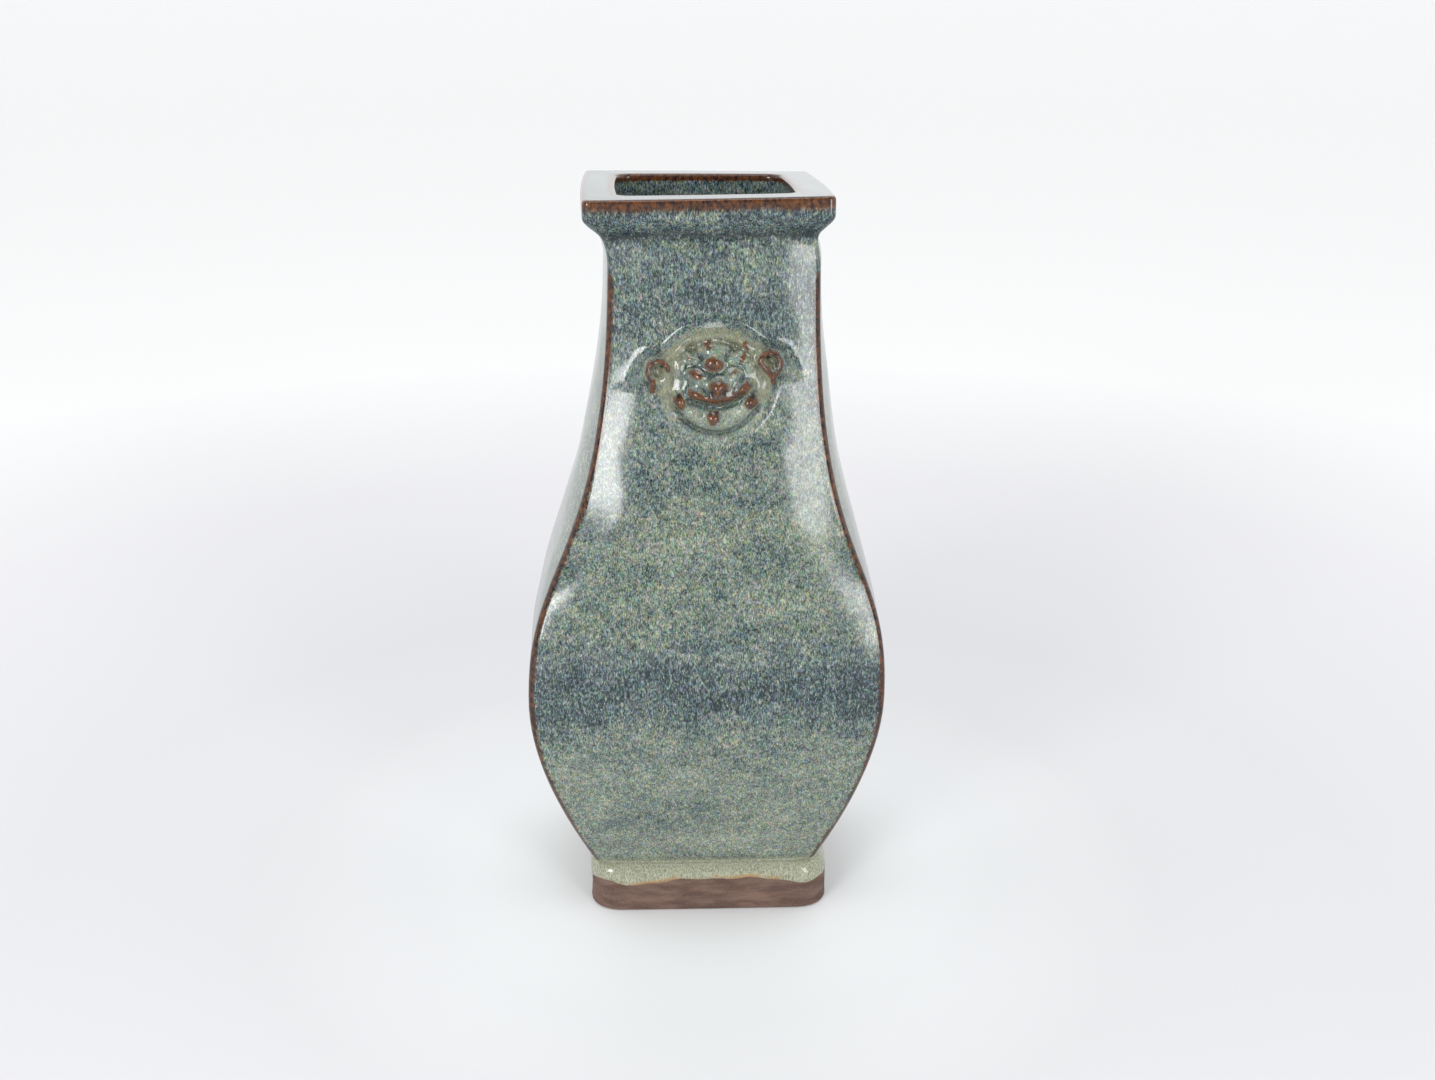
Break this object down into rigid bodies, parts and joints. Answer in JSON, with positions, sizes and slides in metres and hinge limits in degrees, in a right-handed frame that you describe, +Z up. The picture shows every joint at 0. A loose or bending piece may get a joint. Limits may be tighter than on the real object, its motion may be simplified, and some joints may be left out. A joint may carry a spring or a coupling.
{
  "type": "square baluster vase",
  "caption": "Square-sectioned baluster vase of glazed stoneware, hollow and open at the top, on a low square foot, with a lion mask in relief on front and back.",
  "frame": {"origin": "on the ground plane, under the middle of the body; the foot's middle is 1.2 mm to the right of it because the pot warped in the kiln", "axes": "+Z up through the mouth, -Y the front face with its lion mask, +X to the viewer's right"},
  "size_m": [0.1455, 0.1456, 0.3006],
  "materials": {
    "glazed_stoneware": "thick glossy glaze flecked blue, teal and straw yellow, breaking to brown on edges and on the masks' high points, over a bare matt red-brown clay foot"
  },
  "bodies": {
    "root": {"vase": "glazed_stoneware"}
  },
  "joints": []
}
